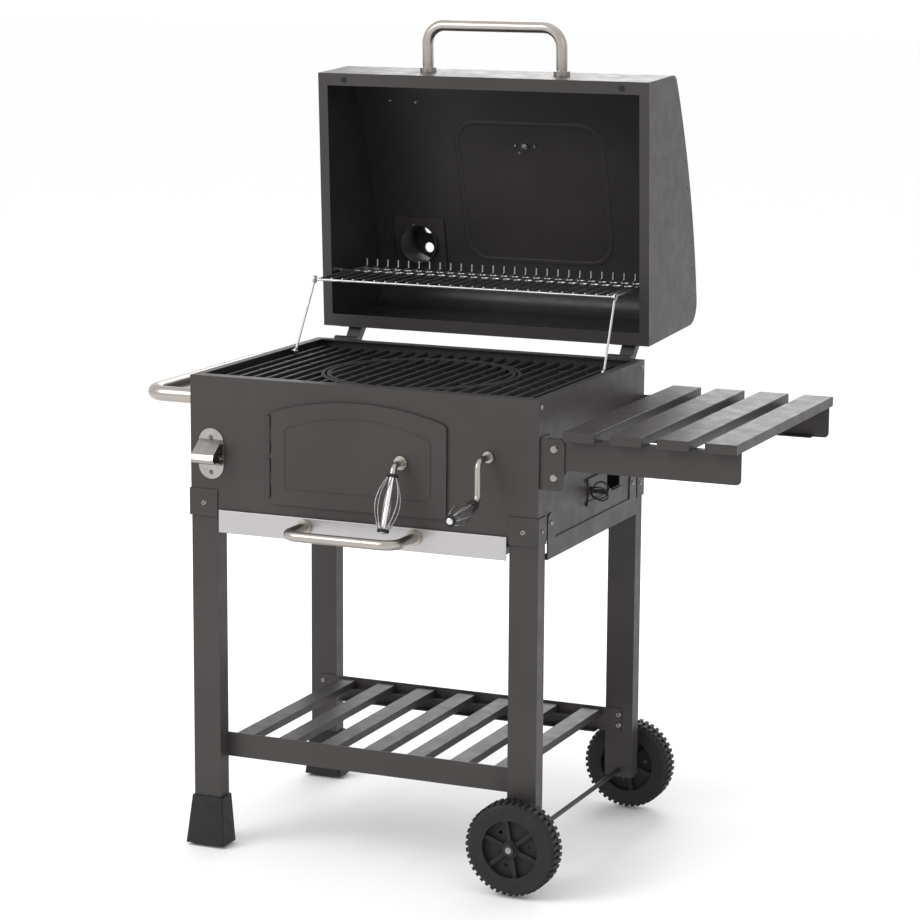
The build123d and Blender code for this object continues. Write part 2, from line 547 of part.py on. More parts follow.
def lid_profile(inset):
    """Side outline of the closed lid, on the sketch plane across its width."""
    with BuildSketch() as outline:
        with BuildLine():
            shoulder, back = (LID_FRONT, LID_SHOULDER_Z), (LID_REAR, LID_BACK_Z)
            ThreePointArc(shoulder, (-32, LID_MIDDLE_Z), back)
            Polyline(back, (LID_REAR, LID_BASE), (LID_FRONT, LID_BASE), shoulder)
        make_face()
        fillet(outline.vertices().group_by(Axis.Y)[-1][-1:], 35)
        front_corners = outline.vertices().filter_by_position(Axis.X, LID_FRONT - 1, LID_FRONT + 1)
        fillet(front_corners.sort_by(Axis.Y)[-1:], 22)
        if inset:
            offset(amount=-inset, mode=Mode.REPLACE)
    return outline.sketch


def on_crown(x, y, inset=0):
    """Plane that touches the cover's curved top, moved in by the inset, facing out."""
    centre, radius = CROWN.arc_center, CROWN.radius
    run = y - centre.X
    rise = math.sqrt(radius**2 - run**2)
    outward = Vector(0, run / radius, rise / radius)
    return Plane(origin=Vector(x, y, centre.Y + rise) - outward * inset, x_dir=(1, 0, 0), z_dir=outward)


LID_SHAPE, LID_INSIDE, LID_FLANGE = lid_profile(0), lid_profile(SHEET), lid_profile(2 * SHEET)
CHIMNEY = (CHIMNEY_X, CHIMNEY_Y)
with BuildPart() as lid_cover:
    with BuildSketch(RIGHT.offset(-COVER_HALF)):
        add(LID_SHAPE)
        add(LID_INSIDE, mode=Mode.SUBTRACT)
        with Locations(((LID_FRONT + LID_REAR) / 2, LID_BASE + 2)):
            Rectangle(LID_REAR - LID_FRONT - 2 * SHEET, 8, mode=Mode.SUBTRACT)
    extrude(amount=2 * COVER_HALF)
    straight_bar((*CHIMNEY, 960), (*CHIMNEY, 1040), CHIMNEY_RADIUS + 0.5, Mode.SUBTRACT)
    with BuildSketch(on_crown(THERMOMETER_X, THERMOMETER_Y, 6)):
        Circle(3)
    extrude(amount=12, mode=Mode.SUBTRACT)


def lid_side(side):
    """Side plate of the lid with its flange turned in under the cover."""
    with BuildPart() as plate:
        with BuildSketch(RIGHT.offset(min(side * COVER_HALF, side * (COVER_HALF + SHEET)))):
            add(LID_SHAPE)
        extrude(amount=SHEET)
        with BuildSketch(RIGHT.offset(side * COVER_HALF)):
            add(LID_INSIDE)
            add(LID_FLANGE, mode=Mode.SUBTRACT)
        extrude(amount=-side * 12)
    return plate


lid_left, lid_right = lid_side(-1), lid_side(1)

LID_MIDDLE_Y, LID_INNER_DEPTH = (LID_FRONT + LID_REAR) / 2, LID_REAR - LID_FRONT - 2 * SHEET
with BuildPart() as lid_rim:
    with BuildSketch(Plane.XY.offset(LID_BASE)):
        with Locations((0, LID_MIDDLE_Y)):
            Rectangle(2 * COVER_HALF, LID_INNER_DEPTH)
            Rectangle(2 * COVER_HALF - 30, LID_INNER_DEPTH - 38, mode=Mode.SUBTRACT)
    extrude(amount=SHEET)

with BuildPart() as lid_handle:
    handle_x, handle_y, handle_z = 122, LID_FRONT - 79, 840
    route = [(-handle_x, LID_FRONT, handle_z), (-handle_x, handle_y, handle_z)]
    route += [(-x, y, z) for x, y, z in reversed(route)]
    bent_bar(route, 32, 9.5, 1.2)
    for x in (-handle_x, handle_x):
        with BuildSketch(FRONT.offset(-LID_FRONT)):
            with Locations((x, handle_z)):
                Circle(14)
                Circle(8.5, mode=Mode.SUBTRACT)
        extrude(amount=8)

HINGE_X, HINGE_RADIUS, PIN_RADIUS, HINGE_SIDE = (-252, 252), 10.5, 3, 21
with BuildPart() as lid_hinge_leaves:
    for x in HINGE_X:
        block((x - HINGE_SIDE, x + HINGE_SIDE), (LID_REAR, LID_REAR + SHEET), (784, 812))
        with BuildSketch(RIGHT.offset(x - 3.5)):
            with BuildLine():
                inside_y = LID_REAR + 1
                Polyline((HINGE_Y + 7, 774.5), (LID_REAR + SHEET, 806), (inside_y, 806),
                         (inside_y, 786), (HINGE_Y - 9, 772.5), (HINGE_Y, HINGE_Z), close=True)
            make_face()
            with Locations((HINGE_Y, HINGE_Z)):
                Circle(HINGE_RADIUS)
                Circle(PIN_RADIUS + RUNNING_GAP, mode=Mode.SUBTRACT)
        extrude(amount=HINGE_SIDE + 3.5)

with BuildPart() as lid_hinge_brackets:
    for x in HINGE_X:
        block((x - HINGE_SIDE, x + HINGE_SIDE), (HALF_D, HALF_D + SHEET), (726, 756))
        with BuildSketch(RIGHT.offset(x - HINGE_SIDE)):
            with BuildLine():
                Polyline((HALF_D, 734), (HALF_D, HINGE_Z - 2), (HINGE_Y, HINGE_Z), (HINGE_Y + 9, HINGE_Z - 5),
                         (HALF_D, 734))
            make_face()
            with Locations((HINGE_Y, HINGE_Z)):
                Circle(HINGE_RADIUS)
                Circle(PIN_RADIUS, mode=Mode.SUBTRACT)
        extrude(amount=HINGE_SIDE - 4)

with BuildPart() as lid_hinge_pins:
    for x in HINGE_X:
        straight_bar((x - HINGE_SIDE, HINGE_Y, HINGE_Z), (x + HINGE_SIDE + 0.5, HINGE_Y, HINGE_Z), PIN_RADIUS)
        for start in (x - HINGE_SIDE - 3, x + HINGE_SIDE + 0.3):
            straight_bar((start, HINGE_Y, HINGE_Z), (start + 3, HINGE_Y, HINGE_Z), 5)

with BuildPart() as lid_bumpers:
    with Locations((-251.5, -206, LID_BASE - 1), (251.5, -206, LID_BASE - 1)):
        Cylinder(4.5, 2)

# Chimney: tube, perforated cap, inside plate and turning damper
with BuildPart() as chimney_tube:
    with BuildSketch(Plane.XY.offset(992)):
        with Locations(CHIMNEY):
            Circle(CHIMNEY_RADIUS)
            Circle(CHIMNEY_RADIUS - 1.5, mode=Mode.SUBTRACT)
    extrude(amount=CHIMNEY_TOP - 992)
    with BuildSketch(Plane.XY.offset(CHIMNEY_TOP - SHEET)):
        with Locations(CHIMNEY):
            Circle(CHIMNEY_RADIUS)
            with PolarLocations(20, 3):
                Circle(9, mode=Mode.SUBTRACT)
    extrude(amount=SHEET)
    straight_bar((*CHIMNEY, CHIMNEY_TOP), (*CHIMNEY, CHIMNEY_TOP + 3), PIN_RADIUS)
    straight_bar((*CHIMNEY, CHIMNEY_TOP + 2.8), (*CHIMNEY, CHIMNEY_TOP + 5), 6)

with BuildPart() as chimney_damper:
    with BuildSketch(Plane.XY.offset(CHIMNEY_TOP + 0.3)):
        with Locations(CHIMNEY):
            Circle(CHIMNEY_RADIUS + 2)
            with Locations((-CHIMNEY_RADIUS - 6, 0)):
                SlotOverall(34, 16)
            with PolarLocations(20, 3):
                Circle(9, mode=Mode.SUBTRACT)
            Circle(PIN_RADIUS + RUNNING_GAP, mode=Mode.SUBTRACT)
    extrude(amount=2.2)

with BuildPart() as chimney_flange:
    with BuildSketch(on_crown(*CHIMNEY, 6)):
        RectangleRounded(97, 97, 5)
    extrude(amount=SHEET)
    straight_bar((*CHIMNEY, 960), (*CHIMNEY, 1040), CHIMNEY_RADIUS + 0.2, Mode.SUBTRACT)

with BuildPart() as thermometer:
    with BuildSketch(on_crown(THERMOMETER_X, THERMOMETER_Y)):
        Circle(31)
    extrude(amount=13)
    fillet(thermometer.edges().filter_by(GeomType.CIRCLE).sort_by(Axis.Z)[-1], 3)
    with BuildSketch(on_crown(THERMOMETER_X, THERMOMETER_Y, 32)):
        Circle(2.2)
    extrude(amount=33)
    with BuildSketch(on_crown(THERMOMETER_X, THERMOMETER_Y, 8)):
        RegularPolygon(6, 6)
    extrude(amount=5.9)

# Warming rack on a cross rod in the lid, carried forward by two links from the firebox
RACK_ROD, RACK_WIRE, RACK_HALF, WIRE_COUNT = 2.5, 1.6, 266, 27
FENCE_Y, FENCE_RISE = 345, 14
LINK_FOOT_X, LINK_TOP_X, LINK_PIN, LINK_LOOP = 278, 272, 2.5, 4.6
with BuildPart() as warming_rack:
    straight_bar((-293, RACK_PIVOT_Y, RACK_Z), (293, RACK_PIVOT_Y, RACK_Z), RACK_ROD)
    straight_bar((-276, RACK_FRONT_Y, RACK_Z), (276, RACK_FRONT_Y, RACK_Z), 2)
    for x in (-RACK_HALF, RACK_HALF):
        straight_bar((x, RACK_FRONT_Y, RACK_Z), (x, FENCE_Y - 4, RACK_Z), RACK_ROD)
    straight_bar((-RACK_HALF, FENCE_Y - 5, RACK_Z), (RACK_HALF, FENCE_Y - 5, RACK_Z), 2)
    spacing = 2 * (RACK_HALF - 6) / (WIRE_COUNT - 1)
    wire_z = RACK_Z + 3
    for number in range(WIRE_COUNT):
        x = 6 - RACK_HALF + number * spacing
        route = [(x, RACK_FRONT_Y - 2, wire_z), (x, FENCE_Y, wire_z), (x, FENCE_Y, wire_z + FENCE_RISE)]
        bent_bar(route, 4, RACK_WIRE)

with BuildPart() as rack_links:
    for side in (-1, 1):
        foot = (side * LINK_FOOT_X, LINK_Y, LINK_Z)
        top = (side * LINK_TOP_X, RACK_FRONT_Y, RACK_Z)
        straight_bar(foot, top, 1.9)
        eyes = ((foot, 5, LINK_PIN + RUNNING_GAP), (top, LINK_LOOP + 1.8, LINK_LOOP))
        for (x, *centre), outer, bore in eyes:
            straight_bar((x - 1.6, *centre), (x + 1.6, *centre), outer)
            straight_bar((x - 3, *centre), (x + 3, *centre), bore, Mode.SUBTRACT)

# Fasteners and small fixings, grouped by finish and by what carries them
with BuildPart() as frame_bolts:
    corner_z, corner_x = 568, HALF_W - LEG_X / 2
    for plane in (FRONT, BACK):
        bolt_heads(plane.offset(HALF_D + SHEET), [(-corner_x, corner_z), (corner_x, corner_z)])
    shaft = AXLE_RADIUS - 0.02
    for side in (-1, 1):
        face = side * (BRACKET_Y + 2.8)
        inner = side * (ARM_Y - SHEET - 0.3)
        for z in (SHELF_PIVOT_Z, LOCK_Z):
            radius = shaft if z == SHELF_PIVOT_Z else 3.5
            straight_bar((SHELF_PIVOT_X, inner, z), (SHELF_PIVOT_X, face, z), radius)
            bolt_heads((BACK if side > 0 else FRONT).offset(BRACKET_Y), [(-side * SHELF_PIVOT_X, z)], 7, 3)
            straight_bar((SHELF_PIVOT_X, inner, z), (SHELF_PIVOT_X, inner - side * 4, z), 7)
        cap = [(WHEEL_X, side * y, WHEEL_RADIUS) for y in (AXLE_END, AXLE_END + AXLE_CAP)]
        straight_bar(*cap, 8)

with BuildPart() as frame_screws:
    for plane, turn in ((RIGHT, 1), (LEFT, -1)):
        corner, ear, rim = LEG_OUT - 12, RAIL_END - EAR_WIDTH / 2, LEG_OUT - 8
        bolt_heads(plane.offset(HALF_W + SHEET), [(-turn * corner, 569), (turn * corner, 569)], 4)
        bolt_heads(plane.offset(HALF_W + SHEET), [(-turn * ear, 576), (turn * ear, 576)], 4.5)
        bolt_heads(plane.offset(HALF_W), [(-turn * rim, 762), (turn * rim, 762)], 4)
    bolt_heads(RIGHT.offset(HALF_W + SHEET), [(y, z) for y in (-200, 200) for z in (656, 700)], 4.5)
    bolt_heads(FRONT.offset(HALF_D + SHEET), [(OPENER_X, OPENER_Z + 27), (OPENER_X, OPENER_Z - 30)], 4)
    for side, plane in ((-1, BACK), (1, FRONT)):
        heads = [(x, z) for x in (-LEG_MID_X, LEG_MID_X) for z in (SHELF_Z[0] + 11, SHELF_Z[1] - 11)]
        bolt_heads(plane.offset(-(LEG_IN - SHEET)), heads)
    for x in (-1, 1):
        pin = [(x * (HALF_W - SHEET), LINK_Y, LINK_Z), (x * (LINK_FOOT_X - 4), LINK_Y, LINK_Z)]
        straight_bar(*pin, LINK_PIN)

with BuildPart() as lid_screws:
    pair = [(THERMOMETER_X + side * 18, THERMOMETER_Y) for side in (-1, 1)]
    for x, y in pair + [(x, PLATE_Y) for x in PLATE_X]:
        seat = on_crown(x, y, SHEET + 0.05)
        bolt_heads(Plane(origin=seat.origin, x_dir=seat.x_dir, z_dir=-seat.z_dir), [(0, 0)], 4, 3.5)

with BuildPart() as rack_bushes:
    for x in (-1, 1):
        bush = [(x * COVER_HALF, RACK_PIVOT_Y, RACK_Z), (x * (COVER_HALF - 9), RACK_PIVOT_Y, RACK_Z)]
        straight_bar(*bush, RACK_ROD + 3)
        straight_bar(*bush, RACK_ROD + RUNNING_GAP, Mode.SUBTRACT)

# Turn the lid group open and move everything to the middle of the grill's box
HINGE_AXIS = Axis((0, HINGE_Y, HINGE_Z), (1, 0, 0))
LID_PIECES = {
    "lid_cover": lid_cover,
    "lid_left": lid_left,
    "lid_right": lid_right,
    "lid_rim": lid_rim,
    "lid_handle": lid_handle,
    "lid_hinge_leaves": lid_hinge_leaves,
    "lid_bumpers": lid_bumpers,
    "chimney_tube": chimney_tube,
    "chimney_damper": chimney_damper,
    "chimney_flange": chimney_flange,
    "thermometer": thermometer,
    "lid_screws": lid_screws,
}
for piece in LID_PIECES.values():
    piece.part = piece.part.rotate(HINGE_AXIS, -LID_OPEN)

PIECES = LID_PIECES | {
    "firebox_front": firebox_front,
    "firebox_rear": firebox_rear,
    "firebox_left": firebox_left,
    "firebox_right": firebox_right,
    "firebox_floor": firebox_floor,
    "leg_front_left": leg_front_left,
    "leg_front_right": leg_front_right,
    "leg_rear_left": leg_rear_left,
    "leg_rear_right": leg_rear_right,
    "feet": feet,
    "side_rails": side_rails,
    "corner_brackets": corner_brackets,
    "lower_shelf_rails": lower_shelf_rails,
    "lower_shelf_slats": lower_shelf_slats,
    "axle": axle,
    "wheel_front": wheel_front,
    "wheel_rear": wheel_rear,
    "side_handle": side_handle,
    "bottle_opener": bottle_opener,
    "door_panel": door_panel,
    "door_hinges": door_hinges,
    "door_latch_rod": door_latch_rod,
    "door_grip": door_grip,
    "crank_shaft": crank_shaft,
    "crank_grip": crank_grip,
    "charcoal_pan": charcoal_pan,
    "lift_guides": lift_guides,
    "grate_left": grate_left,
    "grate_right": grate_right,
    "grate_insert": grate_insert,
    "grate_supports": grate_supports,
    "drawer_tray": drawer_tray,
    "drawer_front": drawer_front,
    "drawer_handle": drawer_handle,
    "drawer_runners": drawer_runners,
    "shelf_arms": shelf_arms,
    "shelf_slats": shelf_slats,
    "shelf_brackets": shelf_brackets,
    "damper_left": damper_left,
    "damper_right": damper_right,
    "damper_guides": damper_guides,
    "lid_hinge_brackets": lid_hinge_brackets,
    "lid_hinge_pins": lid_hinge_pins,
    "rack_bushes": rack_bushes,
    "warming_rack": warming_rack,
    "rack_links": rack_links,
    "frame_bolts": frame_bolts,
    "frame_screws": frame_screws,
}
os.makedirs("parts", exist_ok=True)
for name, piece in PIECES.items():
    piece.part = piece.part.moved(Location((-CENTRE_X, -CENTRE_Y, 0)))
    piece.part.label = name
    export_step(piece.part, f"parts/{name}.step")
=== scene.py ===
"""Charcoal trolley grill: finishes, fine pieces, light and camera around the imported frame.

Everything is in metres in the frame's own axes: +X towards the side shelf, +Y towards the
lid hinges, +Z up, with the origin on the floor under the middle of the grill.
"""

import logging
import math
from dataclasses import dataclass, field
from enum import Enum

import bmesh
import bpy
from mathutils import Matrix, Vector
from mathutils.bvhtree import BVHTree


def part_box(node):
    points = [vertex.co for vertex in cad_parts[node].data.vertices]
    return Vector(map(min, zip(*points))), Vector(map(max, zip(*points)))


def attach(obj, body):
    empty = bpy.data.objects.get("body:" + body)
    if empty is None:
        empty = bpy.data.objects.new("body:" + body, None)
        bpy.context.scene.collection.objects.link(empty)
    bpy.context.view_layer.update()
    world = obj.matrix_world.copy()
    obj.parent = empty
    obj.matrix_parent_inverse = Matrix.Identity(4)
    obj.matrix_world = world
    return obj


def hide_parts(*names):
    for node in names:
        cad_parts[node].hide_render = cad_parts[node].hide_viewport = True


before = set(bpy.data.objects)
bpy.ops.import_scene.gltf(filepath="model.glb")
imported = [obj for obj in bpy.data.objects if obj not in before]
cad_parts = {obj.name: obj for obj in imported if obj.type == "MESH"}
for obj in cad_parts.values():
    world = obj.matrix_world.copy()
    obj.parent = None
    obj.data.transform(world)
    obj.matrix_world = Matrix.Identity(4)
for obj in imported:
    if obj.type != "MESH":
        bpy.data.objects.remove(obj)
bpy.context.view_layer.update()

LOG = logging.getLogger("grill")
Colour = tuple[float, float, float]


class Slot(Enum):
    """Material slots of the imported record."""

    PAINT = "painted_steel"
    IRON = "cast_iron"
    ENAMEL = "enamel_black"
    BRUSHED = "brushed_steel"
    CHROME = "chrome"
    PLASTIC = "black_plastic"
    RUBBER = "rubber"


class Axis(Enum):
    """Direction that a brushed finish runs in."""

    X = (1.0, 0.0, 0.0)
    Y = (0.0, 1.0, 0.0)
    Z = (0.0, 0.0, 1.0)


class Ink:
    """Node tree of one material, with short calls for the nodes that the finishes share."""

    def __init__(self, name: str) -> None:
        """Starts an empty tree with a principled shader and its output.

        Args:
            name: name of the new material.
        """
        self.material = bpy.data.materials.new(name)
        self.material.use_nodes = True
        self.tree = self.material.node_tree
        self.tree.nodes.clear()
        self.shader = self.add("ShaderNodeBsdfPrincipled")
        output = self.add("ShaderNodeOutputMaterial")
        self.tree.links.new(self.shader.outputs["BSDF"], output.inputs["Surface"])
        self.place = self.add("ShaderNodeTexCoord").outputs["Object"]

    def add(self, kind: str, settings: dict | None = None, **inputs: object) -> bpy.types.Node:
        """Adds a node, sets its options and fills or links its inputs.

        Args:
            kind: Blender's identifier of the node.
            settings: options to set on the node itself.
            inputs: values or sockets by input name, where an underscore stands for a space.

        Returns:
            The new node.
        """
        node = self.tree.nodes.new(kind)
        for key, value in (settings or {}).items():
            setattr(node, key, value)
        for key, value in inputs.items():
            self.feed(node.inputs[key.replace("_", " ")], value)
        return node

    def feed(self, socket: bpy.types.NodeSocket, value: object) -> None:
        """Links a socket to an input, or sets the input's own value."""
        if isinstance(value, bpy.types.NodeSocket):
            self.tree.links.new(value, socket)
        else:
            socket.default_value = value

    def noise(self, scale: float, detail: float = 2.0, stretch: Colour = (1, 1, 1)) -> bpy.types.NodeSocket:
        """Noise over the piece.

        Args:
            scale: features for each metre.
            detail: octaves.
            stretch: factor on each axis of the coordinates.

        Returns:
            The noise's factor socket.
        """
        at = self.add("ShaderNodeMapping", Vector=self.place, Scale=stretch).outputs["Vector"]
        return self.add("ShaderNodeTexNoise", Vector=at, Scale=scale, Detail=detail).outputs["Fac"]

    def level(self, factor: bpy.types.NodeSocket, low: float, high: float,
              start: float = 0.3, end: float = 0.7) -> bpy.types.NodeSocket:
        """Maps a factor from start..end to low..high and returns the result."""
        ends = {"From_Min": start, "From_Max": end, "To_Min": low, "To_Max": high}
        return self.add("ShaderNodeMapRange", Value=factor, **ends).outputs["Result"]

    def math(self, operation: str, first: object, second: object = 0.0) -> bpy.types.NodeSocket:
        """Result of a two-value sum such as MULTIPLY, clamped to 0..1."""
        node = self.add("ShaderNodeMath", {"operation": operation, "use_clamp": True})
        self.feed(node.inputs[0], first)
        self.feed(node.inputs[1], second)
        return node.outputs[0]

    def blend(self, factor: object, first: object, second: object) -> bpy.types.NodeSocket:
        """Mixes two colours by a factor and returns the colour socket."""
        node = self.add("ShaderNodeMix", {"data_type": "RGBA"})
        self.feed(node.inputs["Factor"], factor)
        for socket, colour in ((node.inputs[6], first), (node.inputs[7], second)):
            self.feed(socket, (*colour, 1.0) if isinstance(colour, tuple) else colour)
        return node.outputs[2]

    def bump(self, height: object, distance: float, below: object = None) -> bpy.types.NodeSocket:
        """Adds a bump of a distance in metres on top of another normal and returns the normal."""
        node = self.add("ShaderNodeBump", Height=height, Distance=distance, Strength=1.0)
        if below is not None:
            self.feed(node.inputs["Normal"], below)
        return node.outputs["Normal"]

    def soft_edge(self, radius: float) -> tuple[bpy.types.NodeSocket, bpy.types.NodeSocket]:
        """Rounds the shading of sharp edges.

        Args:
            radius: radius of the rounding in metres.

        Returns:
            The rounded normal, and a mask that is 1 on the edges.
        """
        rounded = self.add("ShaderNodeBevel", {"samples": 4}, Radius=radius).outputs["Normal"]
        flat = self.add("ShaderNodeNewGeometry").outputs["Normal"]
        dot = self.add("ShaderNodeVectorMath", {"operation": "DOT_PRODUCT"})
        self.feed(dot.inputs[0], rounded)
        self.feed(dot.inputs[1], flat)
        return rounded, self.level(dot.outputs["Value"], 1.0, 0.0, 0.75, 0.995)

    def inside_of(self, centre: Vector) -> bpy.types.NodeSocket:
        """Mask that is 1 on the faces that look towards a point of the piece's own space."""
        away = self.add("ShaderNodeVectorMath", {"operation": "SUBTRACT"})
        self.feed(away.inputs[0], self.place)
        self.feed(away.inputs[1], tuple(centre))
        facing = self.add("ShaderNodeVectorMath", {"operation": "DOT_PRODUCT"})
        self.feed(facing.inputs[0], away.outputs["Vector"])
        self.feed(facing.inputs[1], self.add("ShaderNodeTexCoord").outputs["Normal"])
        return self.math("LESS_THAN", facing.outputs["Value"], 0.0)

    def surface(self, **inputs: object) -> bpy.types.Material:
        """Fills the shader's inputs and returns the finished material."""
        for key, value in inputs.items():
            value = (*value, 1.0) if key == "Base_Color" and isinstance(value, tuple) else value
            self.feed(self.shader.inputs[key.replace("_", " ")], value)
        return self.material


@dataclass(frozen=True)
class PowderCoat:
    """Satin powder coat on sheet steel, with fine orange peel and paler edges."""

    name: str
    colour: Colour
    roughness: float = 0.44
    edge_gain: float = 1.7
    peel: float = 0.00005

    def material(self, inner: Colour | None = None, centre: Vector | None = None) -> bpy.types.Material:
        """Makes the finish.

        Args:
            inner: another colour for the faces that look at the centre, as inside a lid: partly the real
                enamel, partly painted shade.
            centre: the point that the inner faces look at.

        Returns:
            The material.
        """
        ink = Ink(self.name)
        paler = tuple(min(1.0, c * self.edge_gain) for c in self.colour)
        darker = tuple(c * 0.8 for c in self.colour)
        clouds = ink.level(ink.noise(5.0, 4.0), 0.0, 1.0)
        tone = ink.blend(clouds, darker, self.colour)
        if inner and centre:
            # Faces that look at the centre get the inner tone: painted shade of the lid's inside, with the
            # enamel's own darker tone and random clouds.
            mask = ink.inside_of(centre)
            enamel_and_painted_shade = ink.blend(clouds, tuple(c * 0.7 for c in inner), inner)
            tone = ink.blend(mask, tone, enamel_and_painted_shade)
        flake = ink.level(ink.noise(1500.0), 0.0, 0.16, 0.45, 0.75)
        tone = ink.blend(flake, tone, paler)
        rounded, edges = ink.soft_edge(0.0007)
        scuffs = ink.level(ink.noise(90.0, 4.0), 0.15, 0.6)
        tone = ink.blend(ink.math("MULTIPLY", edges, scuffs), tone, paler)
        waves = ink.bump(ink.noise(14.0, 1.0), 0.0004, rounded)
        normal = ink.bump(ink.noise(1100.0, 3.0), self.peel, waves)
        rough = ink.level(ink.noise(38.0, 4.0), self.roughness - 0.05, self.roughness + 0.06)
        return ink.surface(Base_Color=tone, Roughness=rough, Normal=normal, Metallic=0.15,
                           Specular_IOR_Level=0.3)


@dataclass(frozen=True)
class CastIron:
    """Matt black cast iron with its sandy casting skin."""

    name: str
    colour: Colour
    roughness: float = 0.56

    def material(self) -> bpy.types.Material:
        """Makes the finish."""
        ink = Ink(self.name)
        worn = tuple(c * 2.2 for c in self.colour)
        rounded, edges = ink.soft_edge(0.0011)
        patches = ink.level(ink.noise(26.0, 5.0), 0.0, 0.45)
        tone = ink.blend(patches, self.colour, tuple(c * 1.5 for c in self.colour))
        tone = ink.blend(ink.math("MULTIPLY", edges, ink.noise(160.0, 3.0)), tone, worn)
        skin = ink.bump(ink.noise(620.0, 5.0), 0.00022, rounded)
        normal = ink.bump(ink.noise(90.0, 3.0), 0.0005, skin)
        rough = ink.level(ink.noise(60.0, 4.0), self.roughness - 0.1, self.roughness + 0.14)
        return ink.surface(Base_Color=tone, Roughness=rough, Normal=normal, Metallic=0.2)


@dataclass(frozen=True)
class BrushedMetal:
    """Brushed stainless steel with fine scratches along one axis."""

    name: str
    colour: Colour
    along: Axis
    roughness: float = 0.27

    def material(self) -> bpy.types.Material:
        """Makes the finish."""
        ink = Ink(self.name)
        stretch = tuple(0.012 if axis else 1.0 for axis in self.along.value)
        scratches = ink.noise(2600.0, 4.0, stretch)
        smudges = ink.noise(9.0, 4.0)
        tone = ink.blend(ink.level(scratches, 0.0, 1.0), tuple(c * 0.8 for c in self.colour), self.colour)
        tone = ink.blend(ink.level(smudges, 0.0, 0.25), tone, tuple(c * 0.7 for c in self.colour))
        rounded, _ = ink.soft_edge(0.0005)
        normal = ink.bump(scratches, 0.000035, rounded)
        rough = ink.level(scratches, self.roughness - 0.06, self.roughness + 0.12)
        return ink.surface(Base_Color=tone, Roughness=rough, Normal=normal, Metallic=1.0)


@dataclass(frozen=True)
class PlatedMetal:
    """Bright plated wire, screws and pressings."""

    name: str
    colour: Colour
    roughness: float = 0.14

    def material(self) -> bpy.types.Material:
        """Makes the finish."""
        ink = Ink(self.name)
        haze = ink.noise(70.0, 4.0)
        tone = ink.blend(ink.level(haze, 0.0, 0.4), self.colour, tuple(c * 0.62 for c in self.colour))
        rounded, _ = ink.soft_edge(0.0005)
        normal = ink.bump(ink.noise(420.0, 3.0), 0.00003, rounded)
        rough = ink.level(haze, self.roughness, self.roughness + 0.14)
        return ink.surface(Base_Color=tone, Roughness=rough, Normal=normal, Metallic=1.0)


@dataclass(frozen=True)
class MouldedPolymer:
    """Moulded black plastic or rubber with a fine spark-eroded texture."""

    name: str
    colour: Colour
    roughness: float = 0.5
    grain: float = 0.00006

    def material(self) -> bpy.types.Material:
        """Makes the finish."""
        ink = Ink(self.name)
        dust = ink.level(ink.noise(34.0, 5.0), 0.0, 0.5)
        tone = ink.blend(dust, self.colour, tuple(c * 1.5 + 0.003 for c in self.colour))
        rounded, edges = ink.soft_edge(0.0008)
        tone = ink.blend(ink.math("MULTIPLY", edges, 0.35), tone, tuple(c * 2.4 for c in self.colour))
        normal = ink.bump(ink.noise(1300.0, 3.0), self.grain, rounded)
        rough = ink.level(ink.noise(55.0, 3.0), self.roughness - 0.06, self.roughness + 0.1)
        return ink.surface(Base_Color=tone, Roughness=rough, Normal=normal, Specular_IOR_Level=0.3)


@dataclass(frozen=True)
class DialFace:
    """Printed dial with graduations round its middle and a cooking band."""

    name: str
    centre: Vector
    ticks: int = 30

    def material(self) -> bpy.types.Material:
        """Makes the finish."""
        ink = Ink(self.name)
        shift = ink.add("ShaderNodeVectorMath", {"operation": "SUBTRACT"})
        ink.feed(shift.inputs[0], ink.place)
        ink.feed(shift.inputs[1], tuple(self.centre))
        part = ink.add("ShaderNodeSeparateXYZ", Vector=shift.outputs["Vector"])
        turn = ink.add("ShaderNodeMath", {"operation": "ARCTAN2"})
        ink.feed(turn.inputs[0], part.outputs["X"])
        ink.feed(turn.inputs[1], part.outputs["Z"])
        steps = ink.add("ShaderNodeMath", {"operation": "MULTIPLY"})
        ink.feed(steps.inputs[0], turn.outputs[0])
        ink.feed(steps.inputs[1], self.ticks / math.tau)
        phase = ink.add("ShaderNodeMath", {"operation": "FRACT"})
        ink.feed(phase.inputs[0], steps.outputs[0])
        reach = ink.add("ShaderNodeVectorMath", {"operation": "LENGTH"})
        ink.feed(reach.inputs[0], shift.outputs["Vector"])
        ring = ink.math("MULTIPLY", ink.math("GREATER_THAN", reach.outputs["Value"], 0.0185),
                        ink.math("LESS_THAN", reach.outputs["Value"], 0.0235))
        mark = ink.math("MULTIPLY", ink.math("LESS_THAN", phase.outputs[0], 0.2), ring)
        paper = ink.blend(ink.level(ink.noise(60.0), 0.0, 0.2), (0.82, 0.81, 0.78), (0.7, 0.69, 0.66))
        rough = ink.level(ink.noise(300.0), 0.4, 0.55)
        normal = ink.bump(ink.noise(900.0), 0.00002)
        tone = ink.blend(mark, paper, (0.02, 0.02, 0.02))
        return ink.surface(Base_Color=tone, Roughness=rough, Normal=normal)


